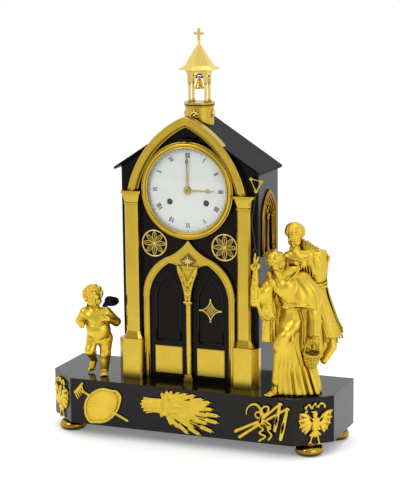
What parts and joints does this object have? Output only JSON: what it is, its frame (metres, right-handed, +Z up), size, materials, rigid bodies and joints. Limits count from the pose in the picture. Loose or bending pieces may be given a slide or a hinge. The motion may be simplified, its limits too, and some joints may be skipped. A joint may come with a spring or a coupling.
{
  "type": "gothic chapel mantel clock",
  "caption": "Black and gilt mantel clock shaped as a chapel with pointed arch, double door, round dial and bell turret, on a plinth with a monk group and a winged child.",
  "frame": {"origin": "on the surface it stands on, under the middle of the bounding box", "axes": "+Z up, the dial faces -Y, +X to the viewer's right"},
  "size_m": [0.35, 0.114, 0.4744],
  "materials": {
    "black_lacquer": "polished black lacquer over bronze",
    "gilt_bronze": "fire-gilt, part burnished and part matt",
    "movement_brass": "lacquered brass",
    "steel": "polished steel",
    "dark_iron": "blackened iron",
    "white_enamel": "white vitreous enamel",
    "clear_glass": "clear domed glass"
  },
  "bodies": {
    "case": {"alms_basket": "gilt_bronze", "back_plate": "movement_brass", "belfry": "gilt_bronze", "bell_crank": "gilt_bronze", "bell_yoke": "dark_iron", "bird_mounts": "gilt_bronze", "bun_feet": "gilt_bronze", "cupid": "gilt_bronze", "cupid_wings": "black_lacquer", "dial": "white_enamel", "door_arch": "gilt_bronze", "door_column": "gilt_bronze", "door_leaves": "black_lacquer", "door_lozenge": "gilt_bronze", "front_arch": "gilt_bronze", "front_plate": "movement_brass", "front_wall": "black_lacquer", "gong_bell": "movement_brass", "hinge_pins": "steel", "kick_plates": "gilt_bronze", "left_wall": "black_lacquer", "maiden": "gilt_bronze", "monk": "gilt_bronze", "movement_ring": "movement_brass", "pilasters": "gilt_bronze", "plinth": "black_lacquer", "pull_wire": "steel", "rear_ring": "movement_brass", "rear_wall": "black_lacquer", "right_wall": "black_lacquer", "roof_left": "black_lacquer", "roof_right": "black_lacquer", "rosettes": "gilt_bronze", "straw_sheaf": "gilt_bronze", "tie_rods": "movement_brass", "tool_mounts": "gilt_bronze", "turret_cross": "gilt_bronze", "turret_drum": "gilt_bronze", "turret_roof": "gilt_bronze", "wheat_mount": "gilt_bronze", "window_frames": "gilt_bronze"},
    "bezel_door": {"bezel": "gilt_bronze", "bezel_glass": "clear_glass"},
    "rear_door": {"rear_door": "movement_brass"},
    "minute_work": {"centre_arbor": "movement_brass", "minute_hand": "gilt_bronze"},
    "hour_work": {"hour_wheel": "movement_brass", "hour_hand": "gilt_bronze"},
    "minute_wheel": {"minute_wheel": "movement_brass"},
    "going_barrel": {"going_barrel": "movement_brass"},
    "strike_barrel": {"strike_barrel": "movement_brass"},
    "second_wheel": {"second_wheel": "movement_brass"},
    "third_wheel": {"third_wheel": "movement_brass"},
    "escape_wheel": {"escape_wheel": "movement_brass"},
    "pendulum": {"anchor": "steel", "pendulum": "steel", "pendulum_bob": "movement_brass"},
    "hammer": {"hammer": "steel"},
    "turret_bell": {"turret_bell": "gilt_bronze"},
    "bell_clapper": {"bell_clapper": "gilt_bronze"}
  },
  "joints": [
    {"name": "bezel_open", "type": "hinge", "parent": "case", "child": "bezel_door", "pos_m": [0, -0.0244, 0.3514], "axis": [-1, 0, 0], "range_deg": [0, 100]},
    {"name": "rear_door_open", "type": "hinge", "parent": "case", "child": "rear_door", "pos_m": [0.052, 0.0534, 0.2933], "axis": [0, 0, -1], "range_deg": [0, 110]},
    {"name": "minute_turn", "type": "hinge", "parent": "case", "child": "minute_work", "pos_m": [0, 0, 0.2933], "axis": [0, 1, 0], "continuous": true},
    {"name": "hour_turn", "type": "hinge", "parent": "case", "child": "hour_work", "pos_m": [0, 0, 0.2933], "axis": [0, 1, 0], "continuous": true},
    {"name": "minute_wheel_turn", "type": "hinge", "parent": "case", "child": "minute_wheel", "pos_m": [-0.0086, 0, 0.30559], "axis": [0, 1, 0], "continuous": true},
    {"name": "going_barrel_turn", "type": "hinge", "parent": "case", "child": "going_barrel", "pos_m": [0.0223, 0, 0.2794], "axis": [0, 1, 0], "continuous": true},
    {"name": "strike_barrel_turn", "type": "hinge", "parent": "case", "child": "strike_barrel", "pos_m": [-0.0223, 0, 0.2794], "axis": [0, 1, 0], "continuous": true},
    {"name": "second_wheel_turn", "type": "hinge", "parent": "case", "child": "second_wheel", "pos_m": [0.01648, 0, 0.29749], "axis": [0, 1, 0], "continuous": true},
    {"name": "third_wheel_turn", "type": "hinge", "parent": "case", "child": "third_wheel", "pos_m": [-0.00971, 0, 0.30786], "axis": [0, 1, 0], "continuous": true},
    {"name": "escape_wheel_turn", "type": "hinge", "parent": "case", "child": "escape_wheel", "pos_m": [0, 0, 0.3193], "axis": [0, 1, 0], "continuous": true},
    {"name": "pendulum_swing", "type": "hinge", "parent": "case", "child": "pendulum", "pos_m": [0, 0, 0.33058], "axis": [0, 1, 0], "range_deg": [-4, 4]},
    {"name": "hammer_lift", "type": "hinge", "parent": "case", "child": "hammer", "pos_m": [0.02, 0, 0.2603], "axis": [0, 1, 0], "range_deg": [0, 20], "stiffness_Nm_per_rad": 0.001, "springref_deg": -11.46},
    {"name": "bell_swing", "type": "hinge", "parent": "case", "child": "turret_bell", "pos_m": [0, 0.019, 0.4184], "axis": [1, 0, 0], "range_deg": [-25, 25]},
    {"name": "clapper_swing", "type": "hinge", "parent": "turret_bell", "child": "bell_clapper", "pos_m": [0, 0.019, 0.4152], "axis": [1, 0, 0], "range_deg": [-12, 12]}
  ],
  "couplings": [
    {"joint": "minute_wheel_turn", "follows": "minute_turn", "ratio": -0.33333},
    {"joint": "hour_turn", "follows": "minute_turn", "ratio": 0.083333},
    {"joint": "second_wheel_turn", "follows": "minute_turn", "ratio": -0.21429},
    {"joint": "going_barrel_turn", "follows": "minute_turn", "ratio": 0.040179},
    {"joint": "third_wheel_turn", "follows": "minute_turn", "ratio": -6},
    {"joint": "escape_wheel_turn", "follows": "minute_turn", "ratio": 30}
  ]
}
